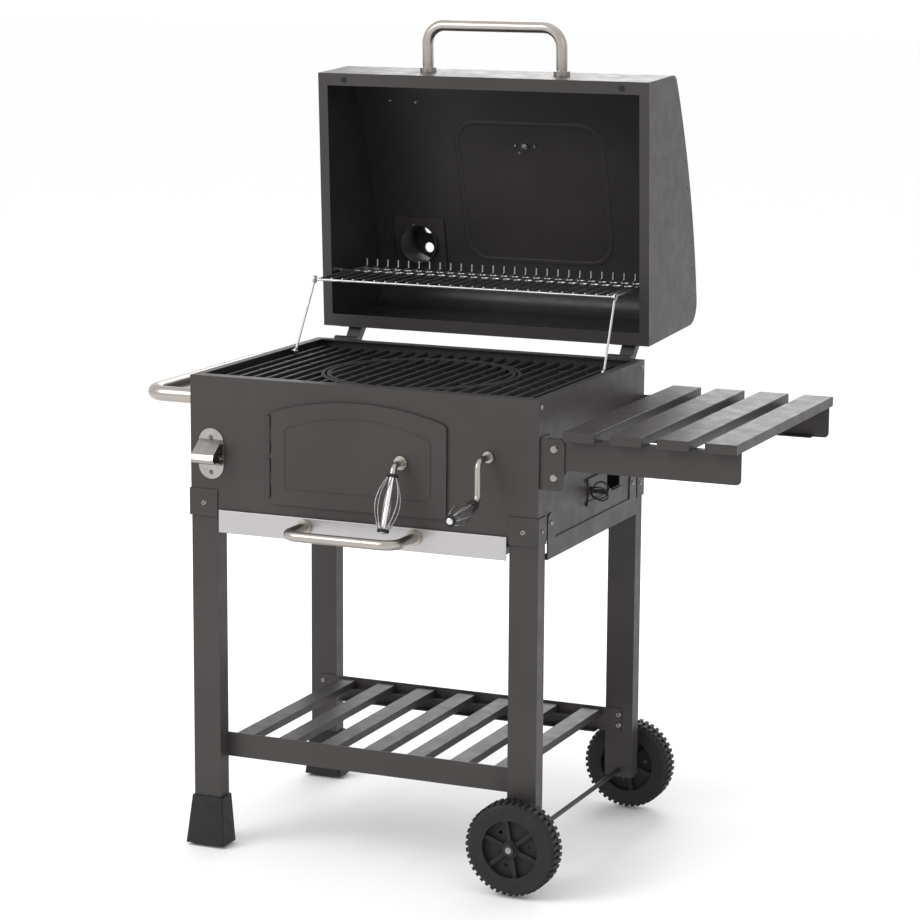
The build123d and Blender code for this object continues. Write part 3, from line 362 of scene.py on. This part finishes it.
class Shape:
    """Mesh under construction, made of swept and turned bodies."""

    def __init__(self) -> None:
        """Starts an empty mesh."""
        self.mesh = bmesh.new()

    def rings(self, rings: list[list[Vector]], closed: bool = False) -> None:
        """Skins a row of equal rings.

        Args:
            rings: corners of each ring, in order.
            closed: joins the last ring to the first one instead of capping both ends.
        """
        made = [[self.mesh.verts.new(corner) for corner in ring] for ring in rings]
        pairs = list(zip(made, made[1:])) + ([(made[-1], made[0])] if closed else [])
        count = len(made[0])
        for first, second in pairs:
            for i in range(count):
                j = (i + 1) % count
                self.mesh.faces.new((first[i], first[j], second[j], second[i]))
        if not closed:
            self.mesh.faces.new(list(reversed(made[0])))
            self.mesh.faces.new(made[-1])

    def tube(self, path: list[Vector], radius: float, sides: int = 10) -> None:
        """Round bar along a path of close points."""
        across = (path[1] - path[0]).orthogonal().normalized()
        rings = []
        for i, point in enumerate(path):
            ahead = (path[min(i + 1, len(path) - 1)] - path[max(i - 1, 0)]).normalized()
            across = (across - ahead * across.dot(ahead)).normalized()
            upward = ahead.cross(across)
            turns = [math.tau * side / sides for side in range(sides)]
            rings.append([point + (across * math.cos(a) + upward * math.sin(a)) * radius for a in turns])
        self.rings(rings)

    def turned(self, base: Vector, direction: Vector, profile: list[tuple[float, float]],
               sides: int = 32) -> None:
        """Body of revolution.

        Args:
            base: point on the axis at height 0.
            direction: the axis.
            profile: radius and height of each ring, from the bottom up.
            sides: corners of each ring.
        """
        along = direction.normalized()
        across = along.orthogonal().normalized()
        upward = along.cross(across)
        turns = [math.tau * side / sides for side in range(sides)]
        self.rings([[base + along * height + (across * math.cos(a) + upward * math.sin(a)) * radius
                     for a in turns] for radius, height in profile])

    def slab(self, centre: Vector, across: Vector, upward: Vector, out: Vector,
             size: tuple[float, float, float]) -> None:
        """Flat bar with its long sides along two directions and its thickness along a third."""
        a, b, c = (d.normalized() * s / 2 for d, s in zip((across, upward, out), size))
        corners = [(-1, -1), (1, -1), (1, 1), (-1, 1)]
        self.rings([[centre + a * i + b * j + c * k for i, j in corners] for k in (-1, 1)])

    def bead(self, path: list[tuple[Vector, Vector]], half_width: float, height: float) -> None:
        """Closed low bead that lies on a surface.

        Args:
            path: points of the surface with the direction in which the bead stands up.
            half_width: half of the bead's width.
            height: how far it stands up, and how far it sinks in.
        """
        rings = []
        for i, (point, out) in enumerate(path):
            ahead = (path[(i + 1) % len(path)][0] - path[i - 1][0]).normalized()
            side = ahead.cross(out).normalized()
            turns = [math.tau * k / 12 for k in range(12)]
            rings.append([point + side * math.cos(a) * half_width + out * math.sin(a) * height
                          for a in turns])
        self.rings(rings, closed=True)

    def piece(self, name: str, body: str, material: bpy.types.Material, slot: Slot,
              smooth_angle: float = 40.0) -> bpy.types.Object:
        """Closes the mesh into a piece that rides on a body.

        Args:
            name: name of the piece.
            body: body that it moves with.
            material: its finish.
            slot: slot of the record that the finish belongs to; not used.
            smooth_angle: edges flatter than this many degrees are shaded smooth.

        Returns:
            The new object.
        """
        bmesh.ops.recalc_face_normals(self.mesh, faces=self.mesh.faces)
        limit = math.radians(smooth_angle)
        for face in self.mesh.faces:
            face.smooth = True
        for edge in self.mesh.edges:
            edge.smooth = edge.calc_face_angle(math.pi) < limit
        data = bpy.data.meshes.new(name)
        self.mesh.to_mesh(data)
        self.mesh.free()
        made = bpy.data.objects.new(name, data)
        bpy.context.scene.collection.objects.link(made)
        data.materials.append(material)
        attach(made, body)
        LOG.info("piece %s on %s, %d faces", name, body, len(data.polygons))
        return made


def islands(node: str) -> list[list[Vector]]:
    """Points of each separate solid in a node's mesh."""
    bm = bmesh.new()
    bm.from_mesh(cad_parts[node].data)
    bmesh.ops.remove_doubles(bm, verts=bm.verts, dist=1e-6)
    seen: set[int] = set()
    found = []
    for start in bm.verts:
        if start.index in seen:
            continue
        stack, points = [start], []
        seen.add(start.index)
        while stack:
            vertex = stack.pop()
            points.append(vertex.co.copy())
            for edge in vertex.link_edges:
                other = edge.other_vert(vertex)
                if other.index not in seen:
                    seen.add(other.index)
                    stack.append(other)
        found.append(points)
    bm.free()
    return found


@dataclass
class Finishes:
    """Every finish of the grill, and the nodes that wear it."""

    coat: Colour = (0.047, 0.042, 0.0415)
    # Inner tone: the lid's enamel darkened with painted shade of its inside; the inner finish wears it too.
    inner: Colour = (0.041, 0.037, 0.038)
    made: dict[str, bpy.types.Material] = field(default_factory=dict)

    def build(self) -> None:
        """Makes the materials."""
        low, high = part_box("lid_cover")
        left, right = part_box("lid_left")[0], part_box("lid_right")[1]
        lid_centre = Vector(((left.x + right.x) / 2, (low.y + high.y) / 2 - 0.03, (low.z + high.z) / 2))
        coat = PowderCoat("anthracite_coat", self.coat)
        lid = PowderCoat("lid_coat", self.coat, roughness=0.4)
        self.made = {
            "coat": coat.material(),
            "lid": lid.material(self.inner, lid_centre),
            # The inner finish: heat-proof black in the inner tone, which carries painted shade.
            "inner": PowderCoat("heat_proof_black_and_painted_shade", self.inner, 0.42).material(),
            "iron": CastIron("enamelled_iron", (0.017, 0.017, 0.0165)).material(),
            "enamel": PowderCoat("black_enamel", (0.02, 0.02, 0.02), 0.35, 1.6).material(),
            "brushed_x": BrushedMetal("brushed_along_x", (0.44, 0.405, 0.378), Axis.X).material(),
            "brushed_y": BrushedMetal("brushed_along_y", (0.44, 0.405, 0.378), Axis.Y).material(),
            "bright": BrushedMetal("drawer_stainless", (0.5, 0.485, 0.49), Axis.X, 0.32).material(),
            "chrome": PlatedMetal("plated_wire", (0.72, 0.71, 0.7)).material(),
            "rack": PlatedMetal("rack_chrome", (0.5, 0.49, 0.485), 0.3).material(),
            "opener": PlatedMetal("opener_chrome", (0.36, 0.345, 0.335), 0.13).material(),
            "wire": PlatedMetal("grip_wire", (0.34, 0.33, 0.325), 0.24).material(),
            "screw": PlatedMetal("dark_plated_screws", (0.3, 0.29, 0.28), 0.26).material(),
            "zinc": PlatedMetal("zinc_screws", (0.62, 0.6, 0.58), 0.22).material(),
            "plastic": MouldedPolymer("moulded_black", (0.009, 0.0085, 0.009)).material(),
            "tyre": MouldedPolymer("wheel_plastic", (0.011, 0.0098, 0.0108), 0.58, 0.0001).material(),
            "rubber": MouldedPolymer("bumper_rubber", (0.012, 0.012, 0.012), 0.7).material(),
            "recess": MouldedPolymer("recess_shade", (0.01, 0.01, 0.01), 0.6).material(),
        }

    def dress(self) -> None:
        """Puts a finish on every node of the frame."""
        worn_by = {
            "lid": ("lid_cover", "lid_left", "lid_right"),
            "inner": ("grate_supports", "lift_guides", "lid_hinge_leaves", "lid_hinge_brackets"),
            "iron": ("grate_left", "grate_right", "grate_insert"),
            "enamel": ("charcoal_pan", "drawer_tray", "axle"),
            "brushed_x": ("lid_handle", "drawer_handle", "door_latch_rod"),
            "brushed_y": ("side_handle", "crank_shaft"),
            "bright": ("drawer_front", "thermometer"),
            "rack": ("warming_rack", "rack_links"),
            "opener": ("bottle_opener",),
            "chrome": ("lid_hinge_pins", "lid_screws"),
            "screw": ("frame_bolts", "frame_screws"),
            "zinc": ("rack_bushes",),
            "plastic": ("feet",),
            "tyre": ("wheel_front", "wheel_rear"),
            "rubber": ("lid_bumpers",),
        }
        finish_of = {node: finish for finish, nodes in worn_by.items() for node in nodes}
        for name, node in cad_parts.items():
            finish = finish_of.get(name, "coat")
            node.data.materials.clear()
            node.data.materials.append(self.made[finish])
            LOG.info("node %s wears %s", name, finish)


@dataclass
class WhiskGrip:
    """Cool-touch grip: bowed wires round a rod, held by two collars."""

    name: str
    body: str
    base: Vector
    direction: Vector
    length: float
    bulge: float
    node: str | None = None
    collar: float = 0.0095
    wires: int = 6
    wire_radius: float = 0.0009
    twist: float = math.radians(15)
    collar_length: float = 0.005

    def strand(self, start: float, end: float, angle: float, steps: int) -> list[Vector]:
        """Path of one wire between two shares of the grip's length."""
        along = self.direction.normalized()
        across = along.orthogonal().normalized()
        upward = along.cross(across)
        seat = self.collar - 0.0025
        path = []
        for i in range(steps + 1):
            share = start + (end - start) * i / steps
            reach = seat + (self.bulge - seat) * math.sin(math.pi * share)
            turn = angle + self.twist * share
            height = 0.003 + (self.length - 0.006) * share
            outward = across * math.cos(turn) + upward * math.sin(turn)
            path.append(self.base + along * height + outward * reach)
        return path

    def build(self, finishes: Finishes) -> None:
        """Builds the wires, their ferrules, the collars and the rod."""
        along = self.direction.normalized()
        wires, ferrules = Shape(), Shape()
        for number in range(self.wires):
            angle = math.tau * number / self.wires
            wires.tube(self.strand(0.0, 1.0, angle, 36), self.wire_radius)
            ferrules.tube(self.strand(0.86, 0.99, angle, 8), self.wire_radius * 1.7)
        cage = wires.piece(f"{self.name}_wires", self.body, finishes.made["wire"], Slot.CHROME)
        if self.node:
            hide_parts(self.node)
        ferrules.piece(f"{self.name}_ferrules", self.body, finishes.made["wire"], Slot.CHROME)
        rod = Shape()
        rod.turned(self.base, along, [(self.collar * 0.5, 0.0005), (self.collar * 0.5, self.length - 0.0005)])
        rod.piece(f"{self.name}_rod", self.body, finishes.made["chrome"], Slot.BRUSHED)
        collars = Shape()
        for foot in (0.0, self.length - self.collar_length):
            r, h = self.collar, self.collar_length
            rings = [(0.6, 0.0), (0.88, 0.0), (0.98, 0.12), (1.0, 0.3), (1.0, 0.7), (0.98, 0.88), (0.88, 1.0),
                     (0.6, 1.0)]
            profile = [(r * width, h * height) for width, height in rings]
            collars.turned(self.base + along * foot, along, profile)
        collars.piece(f"{self.name}_collars", self.body, finishes.made["plastic"], Slot.PLASTIC)
        cap = Shape()
        cap_rings = [(0.55, 0.0), (0.55, 0.0006), (0.47, 0.0015), (0.3, 0.0022), (0.08, 0.0025)]
        cap_profile = [(self.collar * width, h) for width, h in cap_rings]
        cap.turned(self.base + along * self.length, along, cap_profile)
        cap.piece(f"{self.name}_cap", self.body, finishes.made["chrome"], Slot.CHROME)


@dataclass
class PaintedRecessShades:
    """Dark crosses on the screw and bolt heads of a node: painted shade of their cross recesses, which are
    not cut.
    """

    node: str
    body: str
    arm: float = 0.0042
    width: float = 0.0011
    depth: float = 0.00016

    def build(self, finishes: Finishes) -> None:
        """Finds each low domed head and sets a dark cross of painted recess shade on the small end of its
        dome.
        """
        crosses = Shape()
        for points in islands(self.node):
            low = Vector([min(p[k] for p in points) for k in range(3)])
            high = Vector([max(p[k] for p in points) for k in range(3)])
            size = high - low
            thin = min(range(3), key=lambda k: size[k])
            if size[thin] > 0.004 or thin == 2:
                continue
            wide = (thin + 1) % 3 if (thin + 1) % 3 != 2 else (thin + 2) % 3
            spread = {end[thin]: max(p[2] for p in points if abs(p[thin] - end[thin]) < 1e-5)
                      - min(p[2] for p in points if abs(p[thin] - end[thin]) < 1e-5) for end in (low, high)}
            top = min(spread, key=spread.get)
            out, across = Vector((0, 0, 0)), Vector((0, 0, 0))
            out[thin] = 1.0 if top == high[thin] else -1.0
            across[wide] = 1.0
            centre = (low + high) / 2
            centre[thin] = top
            upward = out.cross(across)
            # Two thin dark slabs for each head: painted shade where a cross recess would be.
            for first, second in ((across + upward, across - upward), (across - upward, across + upward)):
                crosses.slab(centre, first, second, out, (self.arm, self.width, self.depth))
        crosses.piece(f"{self.node}_recesses", self.body, finishes.made["recess"], Slot.PAINT)


@dataclass
class AxleEnds:
    """Dark end faces and bright rims on the axle's two caps."""

    node: str = "frame_bolts"
    radius: float = 0.0052
    depth: float = 0.0003

    def build(self, finishes: Finishes) -> None:
        """Finds the cap outside each wheel and covers its end face."""
        middle = (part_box("wheel_front")[0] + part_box("wheel_front")[1]) / 2
        discs, rims = Shape(), Shape()
        for points in islands(self.node):
            low = Vector([min(p[k] for p in points) for k in range(3)])
            high = Vector([max(p[k] for p in points) for k in range(3)])
            centre = (low + high) / 2
            if math.hypot(centre.x - middle.x, centre.z - middle.z) > 0.004:
                continue
            out = Vector((0, math.copysign(1.0, centre.y), 0))
            centre.y = high.y if centre.y > 0 else low.y
            half = (high.x - low.x) / 2
            rings = [(half * 0.99, -0.0003), (half * 0.98, self.depth)]
            discs.turned(centre, out, rings, 32)
            r = self.radius
            rim_rings = [(r, 0.0), (r, 0.0003), (r * 0.86, 0.0006), (r * 0.72, 0.0003)]
            rims.turned(centre + out * self.depth, out, rim_rings, 32)
        discs.piece("axle_end_shades", "frame", finishes.made["tyre"], Slot.PLASTIC)
        rims.piece("axle_end_rims", "frame", finishes.made["wire"], Slot.BRUSHED)


@dataclass
class LidDetails:
    """Pressed bead inside the lid, spot-weld dimples of its seams, and the thermometer's dial."""

    panel_x: tuple[float, float] = (-0.2327, 0.0393)
    panel_z: tuple[float, float] = (0.895, 1.14)
    corner: float = 0.04
    weld_pitch: float = 0.047
    seam_inset: float = 0.006
    sheet: float = 0.002
    thermometer_height: float = 0.3125
    dial_radius: float = 0.0275
    trees: dict[str, BVHTree] = field(default_factory=dict)

    def surface(self, node: str, x: float, z: float) -> tuple[Vector, Vector]:
        """Point of a node's inner face at a width and a height, and the direction into the lid.

        Args:
            node: node that is met.
            x: width.
            z: height.

        Returns:
            The point, and the face's normal.
        """
        if node not in self.trees:
            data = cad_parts[node].data
            points = [v.co.copy() for v in data.vertices]
            self.trees[node] = BVHTree.FromPolygons(points, [tuple(p.vertices) for p in data.polygons])
        start = Vector((x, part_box("lid_cover")[0].y + 0.05, z))
        point, normal, _, _ = self.trees[node].ray_cast(start, Vector((0, 1, 0)))
        if point is None:
            raise ValueError(f"no inner face of {node} at {x:.3f}, {z:.3f}")
        return point, normal if normal.y < 0 else -normal

    def outline(self) -> list[tuple[float, float]]:
        """Rounded rectangle of the pressed panel, as widths and heights."""
        (left, right), (low, high), r = self.panel_x, self.panel_z, self.corner
        centres = [(right - r, high - r, 0), (left + r, high - r, 90), (left + r, low + r, 180),
                   (right - r, low + r, 270)]
        corners = []
        for x, z, first in centres:
            turns = [math.radians(first + step * 10) for step in range(10)]
            corners.append([(x + r * math.cos(a), z + r * math.sin(a)) for a in turns])
        path: list[tuple[float, float]] = []
        for i, arc in enumerate(corners):
            path += arc
            (x0, z0), (x1, z1) = arc[-1], corners[(i + 1) % 4][0]
            path += [(x0 + (x1 - x0) * k / 16, z0 + (z1 - z0) * k / 16) for k in range(1, 16)]
        return path

    def build(self, finishes: Finishes) -> None:
        """Builds the bead, the dimples and the dial."""
        bead = Shape()
        bead.bead([self.surface("lid_cover", x, z) for x, z in self.outline()], 0.0045, 0.0006)
        # The bead wears the inner finish, darkened partly with painted shade.
        bead.piece("lid_pressed_bead", "lid", finishes.made["inner"], Slot.PAINT)
        left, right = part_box("lid_left")[0].x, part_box("lid_right")[1].x
        low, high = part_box("lid_cover")[0].z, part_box("lid_cover")[1].z
        count = int((high - low - 0.1) / self.weld_pitch)
        dimples = Shape()
        head = [(0.0022, 0.0), (0.0021, 0.0003), (0.0015, 0.0007), (0.0005, 0.0009)]
        inset = self.sheet + self.seam_inset
        seams = ((-1, left + inset, left), (1, right - inset, right))
        for side, x, edge in seams:
            for number in range(count):
                z = low + 0.06 + self.weld_pitch * number
                point, normal = self.surface("lid_left" if side < 0 else "lid_right", x, z)
                dimples.turned(point - normal * 0.0001, normal, head, 12)
                outside = Vector((edge - side * 0.0001, point.y - 0.008, point.z))
                dimples.turned(outside, Vector((side, 0, 0)), head, 12)
        dimples.piece("lid_weld_dimples", "lid", finishes.made["lid"], Slot.PAINT)
        self.thermometer(finishes)

    def thermometer(self, finishes: Finishes) -> None:
        """Builds the dial, its needle and its bezel on the outside of the lid."""
        low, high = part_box("thermometer")
        x, z = (low.x + high.x) / 2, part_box("lid_cover")[0].z + self.thermometer_height
        above, below = self.surface("lid_cover", x, z + 0.02)[0], self.surface("lid_cover", x, z - 0.02)[0]
        out = Vector((1, 0, 0)).cross(above - below).normalized()
        out = out if out.y > 0 else -out
        middle = (above + below) / 2
        rim = max(((v.co - middle).dot(out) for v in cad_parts["thermometer"].data.vertices))
        seat = middle + out * rim
        dial = Shape()
        dial.turned(seat, out, [(self.dial_radius, 0.0), (self.dial_radius, 0.0004)], 48)
        dial.piece("thermometer_dial", "lid", DialFace("dial_print", seat).material(), Slot.BRUSHED)
        bezel = Shape()
        ring = [(0.0275, 0.0), (0.0308, 0.0), (0.0312, 0.001), (0.0305, 0.0024), (0.029, 0.003),
                (0.0278, 0.0024), (0.0275, 0.001)]
        across = Vector((1, 0, 0))
        upward = out.cross(across)
        turns = [math.tau * side / 48 for side in range(48)]
        bezel.rings([[seat + out * h + (across * math.cos(a) + upward * math.sin(a)) * r for r, h in ring]
                     for a in turns], closed=True)
        bezel.piece("thermometer_bezel", "lid", finishes.made["bright"], Slot.BRUSHED)
        needle = Shape()
        pointer = (upward + across * 0.8).normalized()
        needle_size = (0.024, 0.0013, 0.0004)
        needle.slab(seat + out * 0.0009 + pointer * 0.007, pointer, pointer.cross(out), out, needle_size)
        needle.turned(seat + out * 0.0004, out, [(0.0022, 0.0), (0.0022, 0.0008), (0.0014, 0.0012)], 20)
        needle.piece("thermometer_needle", "lid", finishes.made["recess"], Slot.BRUSHED)


@dataclass
class Studio:
    """Pale floor, soft lights and the camera."""

    camera_at: Vector = field(default_factory=lambda: Vector((1.86705, -4.48144, 1.5153)))
    yaw: float = math.radians(23.79)
    pitch: float = math.radians(10.53)
    roll: float = math.radians(0.285)
    lens: float = 117.66
    shift: tuple[float, float] = (0.021, 0.0013)
    target: Vector = field(default_factory=lambda: Vector((0.0, 0.0, 0.75)))

    def build_camera(self) -> None:
        """Sets the camera that looks at the front and the right side from a little above."""
        sin_a, cos_a = math.sin(self.yaw), math.cos(self.yaw)
        sin_e, cos_e = math.sin(self.pitch), math.cos(self.pitch)
        back = Vector((sin_a * cos_e, -cos_a * cos_e, sin_e))
        right = Vector((cos_a, sin_a, 0))
        upward = right.cross(-back)
        cos_r, sin_r = math.cos(self.roll), math.sin(self.roll)
        axes = (right * cos_r + upward * sin_r, upward * cos_r - right * sin_r, back)
        data = bpy.data.cameras.new("camera")
        data.sensor_width = 36.0
        data.lens = self.lens
        data.shift_x, data.shift_y = self.shift
        data.clip_end = 60.0
        camera = bpy.data.objects.new("camera", data)
        camera.matrix_world = Matrix.Translation(self.camera_at) @ Matrix(axes).transposed().to_4x4()
        bpy.context.scene.collection.objects.link(camera)
        bpy.context.scene.camera = camera

    def softbox(self, name: str, place: Vector, size: float, power: float) -> None:
        """Square area light that faces the grill."""
        data = bpy.data.lights.new(name, "AREA")
        data.size, data.energy = size, power
        light = bpy.data.objects.new(name, data)
        light.location = place
        light.rotation_euler = (place - self.target).to_track_quat("Z", "Y").to_euler()
        bpy.context.scene.collection.objects.link(light)

    def build(self) -> None:
        """Builds the floor, the lights and the surroundings."""
        floor = Shape()
        axes = (Vector((1, 0, 0)), Vector((0, 1, 0)), Vector((0, 0, 1)))
        floor.slab(Vector((0, 0, -0.02)), *axes, (60, 60, 0.03))
        data = bpy.data.meshes.new("floor")
        floor.mesh.to_mesh(data)
        floor.mesh.free()
        plane = bpy.data.objects.new("floor", data)
        bpy.context.scene.collection.objects.link(plane)
        ink = Ink("pale_floor")
        tone = ink.blend(ink.level(ink.noise(2.0), 0.0, 0.3), (0.96, 0.96, 0.96), (0.95, 0.95, 0.95))
        data.materials.append(ink.surface(Base_Color=tone, Roughness=0.75))
        self.softbox("key", Vector((-2.6, -3.4, 3.4)), 2.6, 105.0)
        self.softbox("fill", Vector((3.6, -2.2, 1.9)), 2.2, 8.0)
        self.softbox("overhead", Vector((0.3, 0.4, 4.2)), 3.0, 10.0)
        self.softbox("behind", Vector((-0.8, 3.8, 2.4)), 2.4, 45.0)
        world = bpy.data.worlds.new("studio")
        world.use_nodes = True
        world.node_tree.nodes["Background"].inputs["Color"].default_value = (1.0, 1.0, 1.0, 1.0)
        world.node_tree.nodes["Background"].inputs["Strength"].default_value = 1.03
        bpy.context.scene.world = world
        bpy.context.scene.view_settings.view_transform = "Standard"


def corners(box: tuple[Vector, Vector]) -> list[list[float]]:
    """A box's two corners as plain lists."""
    return [[float(value) for value in corner] for corner in box]


def main() -> None:
    """Builds every sub-assembly in order."""
    logging.basicConfig(level=logging.INFO, format="%(name)s: %(message)s")
    studio = Studio()
    studio.build_camera()
    finishes = Finishes()
    finishes.build()
    finishes.dress()
    door_latch, crank_end = Vector((-0.03675, -0.34634, 0.648)), Vector((0.10875, -0.36934, 0.6165))
    grips = (
        WhiskGrip("door_grip", "latch", door_latch, Vector((0, -5.5, -13)), 0.092, 0.02, "door_grip"),
        WhiskGrip("crank_grip", "crank", crank_end, Vector((0, -16, -1.5)), 0.09, 0.016, "crank_grip"),
    )
    for grip in grips:
        grip.build(finishes)
    for node, body in (("frame_screws", "frame"), ("frame_bolts", "frame")):
        PaintedRecessShades(node, body).build(finishes)
    AxleEnds().build(finishes)
    LidDetails().build(finishes)
    studio.build()
    bpy.context.view_layer.update()


if __name__ == "__main__":
    main()
